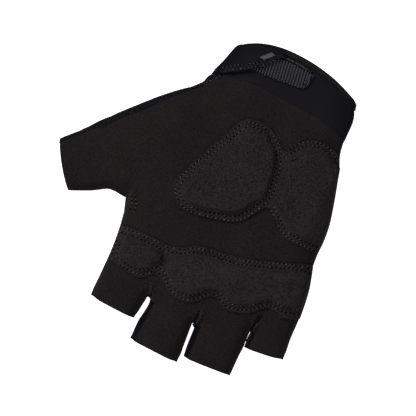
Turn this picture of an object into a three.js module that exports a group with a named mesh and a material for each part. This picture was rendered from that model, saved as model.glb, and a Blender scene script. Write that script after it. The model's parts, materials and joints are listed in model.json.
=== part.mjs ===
// A right-hand half-finger cycling glove that lies on its back with the palm up.
// Millimetres. X runs across the palm to the little finger, Y from the fingertips to the wrist, Z up.
// One skin of quads is laid over the whole hand. Each cloth panel is a stretch of that skin with a wall
// grown inwards from it, and the pads, patch and strap are laid on the same skin.
import * as THREE from 'three';

// Outline sizes.
const PALM_WIDTH = 100; // across the knuckles
const PALM_LENGTH = 100; // thumb-side wrist crease to the web of index and middle finger
const CUFF_LENGTH = 26; // wrist edge beyond the crease
const FINGER_LENGTH = 20; // middle finger's sleeve beyond its web
const THUMB_LENGTH = 51.5; // thumb sleeve from the middle of its root to its mouth
const THUMB_WIDTH = 26.4; // across the thumb's mouth
const THUMB_ANGLE = 216.4; // degrees, way the thumb points
const THUMB_MOUTH_ANGLE = 121; // degrees, line of the thumb's cut end

// Depths.
const PALM_THICKNESS = 27;
const FINGER_THICKNESS = 17.5;
const THUMB_THICKNESS = 19;
const CUFF_LIFT = 3.4; // underside of the cuff above the table
const EDGE_POWER = 2.3; // roundness of the sides: 2 is an ellipse

// Cloth.
const SUEDE = 1.2;
const KNIT = 1;
const CUFF_WALL = 1.5;
const SEAM_GAP = 0.3; // between two panels that are sewn edge to edge
const CLEAR = 0.36; // between two layers that lie on each other

// Pads.
const OVERLAY = 0.9; // suede over the foam
const FOAM = 3; // height of the foam under it
const FLANGE = 4; // flat stitched margin round a pad
const SHOULDER = 1.9; // width of the foam's sloping edge
const CHANNEL = 2.3; // half the stitched channel between two pads
const LEAST_RISE = 0.4; // share of the foam's height at which its edge is cut off
const INDEX_INSET = 1.7; // overlay's end to the side of the hand by the index finger
const LITTLE_INSET = 0.9; // and by the little finger
const SIDE_MARGIN = 0.8; // foam to the overlay's end by the side

// Wrist closure.
const PATCH = 1;
const STRAP = 1.3;
const STRAP_BINDING_WIDTH = 3.4;
const RIDGE = 0.9;
const PULL = 0.7;
const BINDING_WALL = 0.7;
const BINDING_CLEAR = 0.5;
const BINDING_ROOM = 0.95; // space between its fold and the cuff's edge
const BINDING_OUTSIDE = 0.7;
const BINDING_INSIDE = 1.8;

// Rows of the skin, counted from the wrist edge: to the knuckles, to the webs where the sleeves of
// the fingers part, to their mouths, and to the two ends of the thumb's root.
const PALM_ROWS = 19;
const WEB_ROWS = PALM_ROWS + 2;
const SKIN_ROWS = WEB_ROWS + 3;
const THUMB_TOP_ROWS = 4;
const THUMB_LOW_ROWS = 14;
const CUFF_ROWS = 3;
const THUMB_STATIONS = 7;

// Shares of a finger's width at which its columns stand.
const FINGER_COLUMNS = [0, 0.1, 0.27, 0.5, 0.73, 0.9, 1];
const CELLS = FINGER_COLUMNS.length - 1;

// Root and tip are shares of PALM_WIDTH, crotch is [across, along] in shares of the palm,
// and reach is how far the sleeve goes past its crotch, in shares of FINGER_LENGTH.
const FINGERS = [
  {
    name: 'index',
    root: [-0.456, -0.207],
    crotch: [[-0.46, -0.53], [-0.198, -0.54]],
    tip: [-0.467, -0.216],
    reach: [0.54, 0.59],
  },
  {
    name: 'middle',
    root: [-0.191, 0.069],
    crotch: [[-0.176, -0.54], [0.063, -0.57]],
    tip: [-0.201, 0.071],
    reach: [1.08, 1.03],
  },
  {
    name: 'ring',
    root: [0.085, 0.352],
    crotch: [[0.079, -0.57], [0.346, -0.49]],
    tip: [0.083, 0.34],
    reach: [0.84, 1.2],
  },
  {
    name: 'little',
    root: [0.37, 0.549],
    crotch: [[0.352, -0.49], [0.549, -0.46]],
    tip: [0.3445, 0.559],
    reach: [0.44, 0.5],
  },
];
const COLUMNS = FINGERS.length * (CELLS + 1) - 1;

// Plan curves of the palm as [across, along] in shares of the palm.
const KNUCKLE_LINE = [[-0.456, -0.42], [-0.2, -0.462], [0.075, -0.495], [0.365, -0.39], [0.549, -0.34]];
const THUMB_ROOT = [[-0.362, 0.56], [-0.405, 0.3], [-0.45, 0.06], [-0.49, -0.11]];
const INDEX_SIDE = [[-0.49, -0.11], [-0.474, -0.17], [-0.461, -0.27], [-0.456, -0.36], [-0.456, -0.42]];
const LITTLE_SIDE = [
  [0.405, 0.56], [0.417, 0.496], [0.439, 0.441], [0.452, 0.382], [0.47, 0.307], [0.487, 0.234],
  [0.5, 0.165], [0.507, 0.1], [0.506, 0.04], [0.501, -0.03], [0.51, -0.085], [0.527, -0.14],
  [0.542, -0.235], [0.549, -0.34],
];
// The cuff's curves are [across the palm, up from the crease in shares of CUFF_LENGTH].
const WRIST_LINE = [
  [-0.25, 0.88], [-0.222, 0.99], [-0.175, 1.075], [-0.07, 1.15], [0.05, 1.14],
  [0.16, 1.075], [0.27, 0.955], [0.345, 0.825], [0.388, 0.69],
];
const CUFF_LEFT = [[-0.25, 0.88], [-0.266, 0.74], [-0.29, 0.5], [-0.314, 0.34], [-0.331, 0.21], [-0.362, 0]];
const CUFF_RIGHT = [[0.388, 0.69], [0.404, 0.5], [0.408, 0.25], [0.405, 0]];

// Spacing of the thumb's lines across its root and across its mouth.
const THUMB_ROOT_LINES = [0, 0.04, 0.12, 0.22, 0.33, 0.45, 0.57, 0.69, 0.8, 0.91, 1];
const THUMB_MOUTH_LINES = [0, 0.07, 0.16, 0.28, 0.4, 0.52, 0.64, 0.76, 0.87, 0.95, 1];
// How far the thumb's sides bow out from a straight line, in shares of THUMB_WIDTH.
const THUMB_BOWS = [
  { along: 0, upper: 0, lower: 0 },
  { along: 0.15, upper: 0.05, lower: -0.065 },
  { along: 0.3, upper: 0.065, lower: -0.115 },
  { along: 0.6, upper: 0.045, lower: -0.05 },
  { along: 0.8, upper: 0.01, lower: -0.015 },
  { along: 1, upper: 0, lower: 0 },
];
const THUMB_MOUTH_BOW = 0.03;

// Depth of the hand by row. Depth is a share of PALM_THICKNESS, lift a share of CUFF_LIFT, and
// round how far the rounding of the sides reaches in, as a share of PALM_WIDTH.
const DEPTHS = [
  { row: 0, depth: 0.8, lift: 1, round: 0.2 },
  { row: 3, depth: 0.78, lift: 0.9, round: 0.19 },
  { row: 6, depth: 0.92, lift: 0.2, round: 0.2 },
  { row: 9, depth: 1, lift: 0, round: 0.21 },
  { row: 14, depth: 0.97, lift: 0, round: 0.19 },
  { row: PALM_ROWS, depth: 0.88, lift: 0, round: 0.15 },
];
const FINGER_ROUND = 0.128;
const THUMB_ROUND = 0.135;

// Soft mounds and hollows of the palm: place and spread in shares of the palm, rise in shares
// of PALM_THICKNESS.
const MOUNDS = [
  { name: 'thenar', at: [-0.38, 0.26], spread: 0.2, rise: 0.09 },
  { name: 'heel hollow', at: [-0.27, 0.43], spread: 0.1, rise: -0.035 },
  { name: 'thumb valley', at: [-0.5, 0.03], spread: 0.12, rise: -0.07 },
  { name: 'palm hollow', at: [-0.02, -0.1], spread: 0.13, rise: -0.05 },
  { name: 'knuckle ridge', at: [0.1, -0.33], spread: 0.16, rise: 0.03 },
  { name: 'wrist hollow', at: [0.08, 0.6], spread: 0.15, rise: -0.04 },
];

// Cut edge of the heel overlay, one rib a row: its end by the wrist and its end by the fingers,
// in shares of the palm, and how far it bows towards the little finger. By the sides of the hand
// a rib runs down a column of the skin instead.
const HEEL_RIBS = [
  { top: [-0.313, 0.072], low: [-0.308, 0.026], bow: 0 },
  { top: [-0.299, 0.105], low: [-0.292, 0], bow: 0 },
  { top: [-0.281, 0.147], low: [-0.268, -0.02], bow: 0 },
  { top: [-0.25, 0.216], low: [-0.232, -0.044], bow: 0 },
  { top: [-0.21, 0.305], low: [-0.185, -0.062], bow: 0 },
  { top: [-0.168, 0.392], low: [-0.13, -0.058], bow: 0 },
  { top: [-0.13, 0.46], low: [-0.075, -0.047], bow: 0 },
  { top: [-0.088, 0.5], low: [-0.02, -0.034], bow: 0 },
  { top: [-0.03, 0.511], low: [0.03, -0.022], bow: 0 },
  { top: [0.025, 0.506], low: [0.072, -0.006], bow: 0 },
  { top: [0.066, 0.478], low: [0.105, 0.03], bow: 0 },
  { top: [0.1, 0.442], low: [0.133, 0.07], bow: 0 },
  { top: [0.13, 0.416], low: [0.157, 0.1], bow: 0.004 },
  { top: [0.152, 0.41], low: [0.178, 0.113], bow: 0.008 },
  { top: [0.174, 0.414], low: [0.202, 0.109], bow: 0.008 },
  { top: [0.195, 0.438], low: [0.233, 0.088], bow: 0.004 },
  { top: [0.214, 0.482], low: [0.262, 0.058], bow: 0 },
  { top: [0.24, 0.514], low: [0.291, 0.022], bow: 0 },
  { top: [0.28, 0.526], low: [0.33, 0.004], bow: 0.004 },
  { top: [0.32, 0.527], low: [0.375, 0.003], bow: 0.01 },
  { top: [0.35, 0.521], low: [0.41, 0.003], bow: 0.015 },
  { top: [0.37, 0.51], low: [0.44, 0.003], bow: 0, column: COLUMNS - 2 },
  { top: [0.39, 0.5], low: [0.47, 0.003], bow: 0, column: COLUMNS - 1 },
  { top: [0.402, 0.49], low: [0.497, 0.002], bow: 0, column: COLUMNS },
];
const HEEL_CHANNEL_RIBS = 13;

const KNUCKLE_RIBS = [
  { top: [-0.452, -0.242], low: [-0.449, -0.438], bow: 0, column: 0 },
  { top: [-0.432, -0.24], low: [-0.43, -0.44], bow: 0, column: 1 },
  { top: [-0.395, -0.235], low: [-0.395, -0.443], bow: 0, column: 2 },
  { top: [-0.37, -0.233], low: [-0.37, -0.446], bow: 0 },
  { top: [-0.33, -0.231], low: [-0.33, -0.453], bow: 0 },
  { top: [-0.29, -0.232], low: [-0.29, -0.462], bow: 0 },
  { top: [-0.26, -0.236], low: [-0.262, -0.458], bow: 0 },
  { top: [-0.234, -0.24], low: [-0.237, -0.44], bow: 0 },
  { top: [-0.21, -0.244], low: [-0.212, -0.42], bow: 0 },
  { top: [-0.187, -0.245], low: [-0.187, -0.413], bow: 0 },
  { top: [-0.165, -0.241], low: [-0.163, -0.426], bow: 0 },
  { top: [-0.143, -0.231], low: [-0.14, -0.449], bow: 0 },
  { top: [-0.118, -0.215], low: [-0.115, -0.469], bow: 0 },
  { top: [-0.088, -0.195], low: [-0.085, -0.479], bow: 0 },
  { top: [-0.047, -0.18], low: [-0.045, -0.482], bow: 0 },
  { top: [-0.007, -0.173], low: [-0.005, -0.48], bow: 0 },
  { top: [0.03, -0.171], low: [0.03, -0.468], bow: 0 },
  { top: [0.058, -0.169], low: [0.058, -0.439], bow: 0 },
  { top: [0.083, -0.166], low: [0.083, -0.413], bow: 0 },
  { top: [0.108, -0.163], low: [0.108, -0.405], bow: 0 },
  { top: [0.135, -0.159], low: [0.135, -0.417], bow: 0 },
  { top: [0.165, -0.153], low: [0.165, -0.44], bow: 0 },
  { top: [0.195, -0.147], low: [0.197, -0.444], bow: 0 },
  { top: [0.236, -0.137], low: [0.24, -0.433], bow: 0 },
  { top: [0.275, -0.127], low: [0.28, -0.42], bow: 0 },
  { top: [0.309, -0.117], low: [0.315, -0.403], bow: 0 },
  { top: [0.336, -0.109], low: [0.343, -0.377], bow: 0 },
  { top: [0.358, -0.102], low: [0.366, -0.354], bow: 0 },
  { top: [0.38, -0.095], low: [0.39, -0.35], bow: 0 },
  { top: [0.406, -0.086], low: [0.42, -0.363], bow: 0 },
  { top: [0.43, -0.078], low: [0.455, -0.357], bow: 0.002 },
  { top: [0.45, -0.072], low: [0.49, -0.346], bow: 0, column: COLUMNS - 2 },
  { top: [0.475, -0.066], low: [0.515, -0.336], bow: 0, column: COLUMNS - 1 },
  { top: [0.495, -0.06], low: [0.536, -0.328], bow: 0, column: COLUMNS },
];
const KNUCKLE_CHANNEL_RIBS = 9;

// Ribs of the closure on the cuff. Column and row are those of the skin, with a column below 0
// on the underside, and low and high are the rows of a rib's ends. Lift is the space under it,
// and lowLift the space under its low end where the two differ.
const PATCH_RIBS = [
  { column: 5, low: 1.85, high: 0.36, lift: CLEAR },
  { column: 6.5, low: 1.98, high: 0.36, lift: CLEAR },
  { column: 8, low: 2.04, high: 0.36, lift: CLEAR },
  { column: 9.7, low: 2, high: 0.36, lift: CLEAR },
  { column: 11.3, low: 1.92, high: 0.36, lift: CLEAR },
  { column: 13, low: 1.82, high: 0.36, lift: CLEAR },
  { column: 14.3, low: 1.7, high: 0.36, lift: CLEAR },
  { column: 15.1, low: 1.5, high: 0.36, lift: CLEAR },
  { column: 15.8, low: 1, high: 0.38, lift: CLEAR },
];
const OVER_PATCH = CLEAR + PATCH + 1.2 * CLEAR;
const OVER_BINDING = BINDING_CLEAR + BINDING_WALL + 1.6 * CLEAR;
const STRAP_RIBS = [
  { column: 9.3, low: 0.38, high: 0.2, lift: OVER_PATCH },
  { column: 8.7, low: 0.56, high: 0.08, lift: OVER_PATCH },
  { column: 7.8, low: 1.04, high: 0.03, lift: OVER_PATCH },
  { column: 6.5, low: 1.76, high: 0, lift: OVER_PATCH },
  { column: 5, low: 2.26, high: 0, lift: OVER_PATCH },
  { column: 4, low: 2.58, high: 0, lift: OVER_PATCH, lowLift: 1.5 },
  { column: 3, low: 2.88, high: 0, lift: OVER_PATCH, lowLift: 1.2 },
  { column: 2, low: 3.02, high: 0, lift: OVER_BINDING, lowLift: 0.9 },
  { column: 1, low: 2.86, high: 0, lift: OVER_BINDING, lowLift: 0.7 },
  { column: 0, low: 2.5, high: 0.02, lift: OVER_BINDING, lowLift: 0.6 },
  { column: -1, low: 2.42, high: 0.08, lift: OVER_BINDING, lowLift: 0.55 },
  { column: -2, low: 2.36, high: 0.2, lift: OVER_BINDING, lowLift: 0.5 },
  { column: -4, low: 2.38, high: 0.4, lift: 1, lowLift: 0.5 },
  { column: -6, low: 2.38, high: 0.46, lift: 0.5 },
  { column: -8, low: 2.38, high: 0.48, lift: CLEAR },
];
const STRAP_LINES = [0, 0.3, 0.65, 1];
const BINDING_LINES = [0, 0.28, 0.5, 0.72, 1];
const BINDING_RIDGES = [0.35, 1, 0.45, 1, 0.35];
const BINDING_RIBS = 8;
const PULL_AT = { column: [7.9, 6.56, 5.5, 6.9], row: [0.42, 1.02, 0.92, 0.28] };

const vector = (x, y, z = 0) => new THREE.Vector3(x, y, z);
const lerp = THREE.MathUtils.lerp;
const mix = (a, b, t) => a.clone().lerp(b, t);

// A value between the rows of a table, eased so that no row shows as a kink.
function tableAt(table, key, value, at) {
  const next = Math.min(Math.max(table.findIndex((row) => row[key] >= at), 1), table.length - 1);
  const a = table[next - 1];
  const b = table[next];
  const share = THREE.MathUtils.clamp((at - a[key]) / (b[key] - a[key]), 0, 1);
  return lerp(a[value], b[value], THREE.MathUtils.smoothstep(share, 0, 1));
}

// Points on a smooth curve through the given ones, at the given shares of its length.
function along(points, shares) {
  const curve = new THREE.CatmullRomCurve3(points, false, 'centripetal');
  return shares.map((share) => curve.getPointAt(share));
}

const even = (count) => Array.from({ length: count + 1 }, (_, i) => i / count);
const onPalm = ([across, up]) => vector(across * PALM_WIDTH, up * PALM_LENGTH);
const CREASE = THUMB_ROOT[0][1] * PALM_LENGTH;
const onCuff = ([across, up]) => vector(across * PALM_WIDTH, CREASE + up * CUFF_LENGTH);

// Nearest distance in plan from a point to the segments of a list of lines.
function planDistance(point, lines) {
  let nearest = Infinity;
  for (const line of lines) {
    for (let i = 1; i < line.length; i++) {
      const a = line[i - 1];
      const b = line[i];
      const dx = b.x - a.x;
      const dy = b.y - a.y;
      const length = dx * dx + dy * dy || 1;
      const t = THREE.MathUtils.clamp(((point.x - a.x) * dx + (point.y - a.y) * dy) / length, 0, 1);
      nearest = Math.min(nearest, Math.hypot(point.x - a.x - t * dx, point.y - a.y - t * dy));
    }
  }
  return nearest;
}

// Plan of the palm: a patch between the wrist line, the knuckles and the two sides.
const firstColumn = (finger) => finger * (CELLS + 1);

function knuckleRow() {
  const curve = KNUCKLE_LINE.map(onPalm);
  const heightAt = (x) => {
    const next = Math.min(Math.max(curve.findIndex((p) => p.x >= x), 1), curve.length - 1);
    const share = (x - curve[next - 1].x) / (curve[next].x - curve[next - 1].x);
    return lerp(curve[next - 1].y, curve[next].y, share);
  };
  return FINGERS.flatMap((finger) => FINGER_COLUMNS.map((share) => {
    const x = lerp(finger.root[0], finger.root[1], share) * PALM_WIDTH;
    return vector(x, heightAt(x));
  }));
}

function thumbRoot() {
  return along(THUMB_ROOT.map(onPalm), THUMB_ROOT_LINES);
}

function palmPlan() {
  const wrist = along(WRIST_LINE.map(onCuff), even(COLUMNS));
  const knuckles = knuckleRow();
  const left = [
    ...along(CUFF_LEFT.map(onCuff), even(THUMB_TOP_ROWS)).slice(0, -1),
    ...thumbRoot().slice(0, -1),
    ...along(INDEX_SIDE.map(onPalm), even(PALM_ROWS - THUMB_LOW_ROWS)),
  ];
  const right = [
    ...along(CUFF_RIGHT.map(onCuff), even(CUFF_ROWS)).slice(0, -1),
    ...along(LITTLE_SIDE.map(onPalm), even(PALM_ROWS - CUFF_ROWS)),
  ];
  const span = knuckles[COLUMNS].x - knuckles[0].x;
  return left.map((start, row) => wrist.map((_, column) => {
    const v = row / PALM_ROWS;
    const u = lerp(column / COLUMNS, (knuckles[column].x - knuckles[0].x) / span, v);
    const point = vector(0, 0);
    point.addScaledVector(wrist[column], 1 - v).addScaledVector(knuckles[column], v);
    point.addScaledVector(start, 1 - u).addScaledVector(right[row], u);
    point.addScaledVector(wrist[0], -(1 - u) * (1 - v)).addScaledVector(wrist[COLUMNS], -u * (1 - v));
    return point.addScaledVector(knuckles[0], -(1 - u) * v).addScaledVector(knuckles[COLUMNS], -u * v);
  }));
}

// Plan of one finger below the knuckle row, as rows of points.
function fingerRows(finger, knuckles, start) {
  const side = (end) => {
    const root = knuckles[start + end * CELLS];
    const crotch = onPalm(finger.crotch[end]);
    const tip = vector(finger.tip[end] * PALM_WIDTH, crotch.y - finger.reach[end] * FINGER_LENGTH);
    const toCrotch = even(WEB_ROWS - PALM_ROWS).slice(1).map((t) => mix(root, crotch, t));
    const toTip = even(SKIN_ROWS - WEB_ROWS).slice(1).map((t) => mix(crotch, tip, t));
    return [...toCrotch, ...toTip];
  };
  const left = side(0);
  const right = side(1);
  return left.map((point, row) => FINGER_COLUMNS.map((share) => mix(point, right[row], share)));
}

// Plan of the thumb, by station from its root to its mouth.
function thumbPlan(root) {
  const pointing = THREE.MathUtils.degToRad(THUMB_ANGLE);
  const mouthLine = THREE.MathUtils.degToRad(THUMB_MOUTH_ANGLE);
  const middle = mix(root[0], root.at(-1), 0.5);
  const mouth = vector(Math.cos(pointing), Math.sin(pointing)).multiplyScalar(THUMB_LENGTH).add(middle);
  const half = vector(Math.cos(mouthLine), Math.sin(mouthLine)).multiplyScalar(THUMB_WIDTH / 2);
  const upperEnd = mouth.clone().add(half);
  const lowerEnd = mouth.clone().sub(half);
  const outward = vector(-half.y, half.x).normalize();
  const mouthPoints = THUMB_MOUTH_LINES.map((share) => mix(upperEnd, lowerEnd, share)
    .addScaledVector(outward, 4 * share * (1 - share) * THUMB_MOUTH_BOW * THUMB_WIDTH));
  const bowed = (a, b, bow, flip) => (share) => {
    const normal = vector(a.y - b.y, b.x - a.x).normalize().multiplyScalar(flip);
    return mix(a, b, share).addScaledVector(normal, tableAt(THUMB_BOWS, 'along', bow, share) * THUMB_WIDTH);
  };
  const upper = bowed(root[0], upperEnd, 'upper', -1);
  const lower = bowed(root.at(-1), lowerEnd, 'lower', 1);
  return even(THUMB_STATIONS).map((s) => root.map((start, line) => {
    const t = lerp(THUMB_ROOT_LINES[line], THUMB_MOUTH_LINES[line], s);
    const point = mix(start, mouthPoints[line], s);
    point.addScaledVector(upper(s), 1 - t).addScaledVector(lower(s), t);
    point.addScaledVector(mix(root[0], upperEnd, s), -(1 - t));
    return point.addScaledVector(mix(root.at(-1), lowerEnd, s), -t);
  }));
}

// The skin: named vertices on the palm side (1) and the back (-1), which share one vertex
// along the sides of the hand, and quads that say which panel they belong to.
const palm = palmPlan();
const fingerPlans = FINGERS.map((finger, i) => fingerRows(finger, palm[PALM_ROWS], firstColumn(i)));
const thumb = thumbPlan(palm.slice(THUMB_TOP_ROWS, THUMB_LOW_ROWS + 1).map((row) => row[0]));

function planPoint(row, column) {
  if (row <= PALM_ROWS) return palm[row][column];
  const finger = Math.floor(column / (CELLS + 1));
  return fingerPlans[finger][row - PALM_ROWS - 1][column - firstColumn(finger)];
}

function isSide(row, column) {
  if (column === COLUMNS) return true;
  if (column === 0) return row <= THUMB_TOP_ROWS || row >= THUMB_LOW_ROWS;
  const place = column % (CELLS + 1);
  return row >= WEB_ROWS && (place === 0 || place === CELLS);
}

function sideLines() {
  const rows = (from, to, column) => even(to - from).map((_, i) => planPoint(from + i, column));
  const thumbLine = (line) => thumb.map((station) => station[line]);
  const lines = [
    rows(0, THUMB_TOP_ROWS, 0),
    thumbLine(0),
    thumbLine(THUMB_ROOT_LINES.length - 1),
    rows(THUMB_LOW_ROWS, SKIN_ROWS, 0),
    rows(0, SKIN_ROWS, COLUMNS),
  ];
  for (let finger = 1; finger < FINGERS.length; finger++) {
    const right = firstColumn(finger);
    const leftSide = rows(WEB_ROWS, SKIN_ROWS, right - 1).reverse();
    lines.push([...leftSide, ...rows(WEB_ROWS, SKIN_ROWS, right)]);
  }
  return lines;
}

const SIDES = sideLines();

// Depth, lift and rounding at a row of the palm and fingers, and towards the thumb's mouth.
function bodyAt(row, towardsMouth = 0) {
  const at = Math.min(row, PALM_ROWS);
  const finger = THREE.MathUtils.smoothstep(row, PALM_ROWS - 2, SKIN_ROWS);
  const body = {
    depth: tableAt(DEPTHS, 'row', 'depth', at) * PALM_THICKNESS,
    lift: tableAt(DEPTHS, 'row', 'lift', at) * CUFF_LIFT,
    round: tableAt(DEPTHS, 'row', 'round', at) * PALM_WIDTH,
  };
  const blend = (other, share) => {
    for (const key of Object.keys(other)) body[key] = lerp(body[key], other[key], share);
  };
  blend({ depth: FINGER_THICKNESS, round: FINGER_ROUND * PALM_WIDTH }, finger);
  blend({ depth: THUMB_THICKNESS, lift: 0, round: THUMB_ROUND * PALM_WIDTH }, towardsMouth);
  return body;
}

function moundAt(point) {
  return MOUNDS.reduce((sum, mound) => {
    const centre = onPalm(mound.at);
    const away = Math.hypot((point.x - centre.x) / PALM_WIDTH, (point.y - centre.y) / PALM_LENGTH);
    return sum + mound.rise * PALM_THICKNESS * Math.exp(-((away / mound.spread) ** 2));
  }, 0);
}

function skinHeight(point, body, side) {
  const inside = Math.min(planDistance(point, SIDES) / body.round, 1);
  const rise = (1 - (1 - inside) ** EDGE_POWER) ** (1 / EDGE_POWER);
  const middle = body.lift + body.depth / 2;
  const mound = side > 0 ? moundAt(point) * Math.min(1, inside * 2) : 0;
  return middle + side * rise * body.depth / 2 + mound;
}

const skin = { points: [], names: new Map(), quads: [] };

function vertex(row, column, side) {
  const name = isSide(row, column) ? `${row},${column}` : `${row},${column},${side}`;
  return named(name, planPoint(row, column), bodyAt(row), side);
}

function thumbVertex(station, line, side) {
  if (station === 0) return vertex(THUMB_TOP_ROWS + line, 0, side);
  const onSide = line === 0 || line === THUMB_ROOT_LINES.length - 1;
  const name = onSide ? `thumb ${station},${line}` : `thumb ${station},${line},${side}`;
  const towardsMouth = THREE.MathUtils.smoothstep(station / THUMB_STATIONS, 0, 1);
  return named(name, thumb[station][line], bodyAt(THUMB_TOP_ROWS + line, towardsMouth), side);
}

function named(name, plan, body, side) {
  if (!skin.names.has(name)) {
    skin.names.set(name, skin.points.length);
    skin.points.push(vector(plan.x, plan.y, skinHeight(plan, body, side)));
  }
  return skin.names.get(name);
}

function addQuad(panel, side, corners) {
  skin.quads.push({ panel, side, corners: side > 0 ? corners : corners.toReversed() });
}

// Which panel a cell of the palm and fingers belongs to. The strips between the fingers show
// beside each finger's thumb side, and on its other side stay under the palm's edge.
function panelOf(row, column, side) {
  if (row < CUFF_ROWS) return 'cuff';
  const place = column % (CELLS + 1);
  const finger = Math.floor(column / (CELLS + 1));
  if (row >= PALM_ROWS) {
    if (place === CELLS) return `strip ${finger}`;
    if (place === 0 && finger > 0 && (row >= WEB_ROWS || side < 0)) return `strip ${finger - 1}`;
    if (place === CELLS - 1 && finger < FINGERS.length - 1 && side < 0) return `strip ${finger}`;
  }
  if (side > 0 && row <= THUMB_TOP_ROWS && column === 0) return 'back';
  return side > 0 ? 'palm' : 'back';
}

for (const side of [1, -1]) {
  for (let row = 0; row < SKIN_ROWS; row++) {
    for (let column = 0; column < COLUMNS; column++) {
      const betweenFingers = column % (CELLS + 1) === CELLS;
      if (betweenFingers && row >= WEB_ROWS) continue;
      const cell = [[row, column], [row + 1, column], [row + 1, column + 1], [row, column + 1]];
      addQuad(panelOf(row, column, side), side, cell.map(([r, c]) => vertex(r, c, side)));
    }
  }
  for (let station = 0; station < THUMB_STATIONS; station++) {
    for (let line = 0; line < THUMB_ROOT_LINES.length - 1; line++) {
      const cell = [[station, line], [station + 1, line], [station + 1, line + 1], [station, line + 1]];
      const panel = side > 0 && line > 0 ? 'palm' : 'back';
      addQuad(panel, side, cell.map(([s, l]) => thumbVertex(s, l, side)));
    }
  }
}

function trianglesOf([a, b, c, d]) {
  return [[a, b, c], [a, c, d]];
}

function normalsOf(points, quads) {
  const normals = points.map(() => vector(0, 0, 0));
  for (const corners of quads) {
    for (const triangle of trianglesOf(corners)) {
      const [a, b, c] = triangle.map((i) => points[i]);
      const face = b.clone().sub(a).cross(c.clone().sub(a));
      triangle.forEach((i) => normals[i].add(face));
    }
  }
  return normals.map((normal) => normal.normalize());
}

skin.normals = normalsOf(skin.points, skin.quads.map((quad) => quad.corners));

// A point and normal on the palm side of the skin, found by its place in plan.
const palmTriangles = skin.quads.filter((quad) => quad.side > 0).flatMap((quad) => trianglesOf(quad.corners));

function skinAt(x, y) {
  let best = null;
  for (const triangle of palmTriangles) {
    const [a, b, c] = triangle.map((i) => skin.points[i]);
    const area = (b.x - a.x) * (c.y - a.y) - (c.x - a.x) * (b.y - a.y);
    const wb = ((x - a.x) * (c.y - a.y) - (c.x - a.x) * (y - a.y)) / area;
    const wc = ((b.x - a.x) * (y - a.y) - (x - a.x) * (b.y - a.y)) / area;
    const inside = Math.min(1 - wb - wc, wb, wc);
    if (!best || inside > best.inside) best = { inside, triangle, weights: [1 - wb - wc, wb, wc] };
    if (inside >= 0) break;
  }
  return blendSkin(best.triangle, best.weights);
}

function blendSkin(indices, weights) {
  const point = vector(0, 0, 0);
  const normal = vector(0, 0, 0);
  indices.forEach((index, i) => {
    point.addScaledVector(skin.points[index], weights[i]);
    normal.addScaledVector(skin.normals[index], weights[i]);
  });
  return { point, normal: normal.normalize() };
}

// The same on the cuff, by column (below 0 on the underside) and row.
function cuffAt(place, row) {
  const side = place < 0 ? -1 : 1;
  const column = Math.min(Math.abs(place), COLUMNS - 1e-6);
  const c = Math.floor(column);
  const r = Math.floor(row);
  const [du, dv] = [column - c, row - r];
  const corners = [[r, c], [r, c + 1], [r + 1, c], [r + 1, c + 1]].map(([a, b]) => vertex(a, b, side));
  return blendSkin(corners, [(1 - du) * (1 - dv), du * (1 - dv), (1 - du) * dv, du * dv]);
}

const lifted = ({ point, normal }, lift) => point.clone().addScaledVector(normal, lift);

// A closed mesh between two layers of points that share one set of quads. The outer layer faces
// the way that the quads do.
function solidBetween(outer, inner, quads) {
  const count = outer.length;
  const triangles = [];
  const edges = new Map();
  for (const corners of quads) {
    for (const [a, b, c] of trianglesOf(corners)) {
      triangles.push([a, b, c], [a + count, c + count, b + count]);
    }
    corners.forEach((from, i) => {
      const to = corners[(i + 1) % corners.length];
      if (!edges.delete(`${to},${from}`)) edges.set(`${from},${to}`, [from, to]);
    });
  }
  for (const [from, to] of edges.values()) {
    if (from < to) triangles.push([from, from + count, to + count], [from, to + count, to]);
    else triangles.push([from, from + count, to], [to, from + count, to + count]);
  }
  const geometry = new THREE.BufferGeometry();
  geometry.setAttribute('position', new THREE.Float32BufferAttribute(
    [...outer, ...inner].flatMap((point) => point.toArray()), 3));
  geometry.setIndex(triangles.flat());
  geometry.computeVertexNormals();
  return geometry;
}

// Moves the rim of a panel inwards along the skin, which leaves the gap of a seam.
function drawnIn(points, quads, distance) {
  const edges = new Map();
  for (const corners of quads) {
    corners.forEach((from, i) => {
      const to = corners[(i + 1) % corners.length];
      if (!edges.delete(`${to},${from}`)) edges.set(`${from},${to}`, [from, to]);
    });
  }
  const pull = new Map();
  for (const [from, to] of edges.values()) {
    const edge = points[to].clone().sub(points[from]).normalize();
    for (const corner of [from, to]) {
      const inwards = skin.normals[corner].clone().cross(edge).normalize();
      pull.set(corner, (pull.get(corner) ?? vector(0, 0, 0)).add(inwards));
    }
  }
  return points.map((point, i) => {
    if (!pull.has(i)) return point.clone();
    return point.clone().addScaledVector(pull.get(i).normalize(), distance);
  });
}

// Renumbers the vertices that some quads use, from 0 and in their old order, so that the rims of
// two panels that meet are split along the same diagonals.
function compact(quads) {
  const used = [...new Set(quads.flat())].sort((a, b) => a - b);
  const place = new Map(used.map((index, i) => [index, i]));
  return { used, quads: quads.map((corners) => corners.map((index) => place.get(index))) };
}

function clothPanel(panel, wall) {
  const quads = skin.quads.filter((quad) => quad.panel === panel).map((quad) => quad.corners);
  const outer = drawnIn(skin.points, quads, SEAM_GAP / 2);
  const inner = outer.map((point, i) => lifted({ point, normal: skin.normals[i] }, -wall));
  const part = compact(quads);
  return solidBetween(part.used.map((i) => outer[i]), part.used.map((i) => inner[i]), part.quads);
}

// Quads of a grid of rows and columns whose rows run down and columns to the right.
function gridQuads(rows, columns) {
  const quads = [];
  for (let r = 0; r < rows - 1; r++) {
    for (let c = 0; c < columns - 1; c++) {
      const a = r * columns + c;
      quads.push([a, a + 1, a + columns + 1, a + columns]);
    }
  }
  return quads;
}

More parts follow.
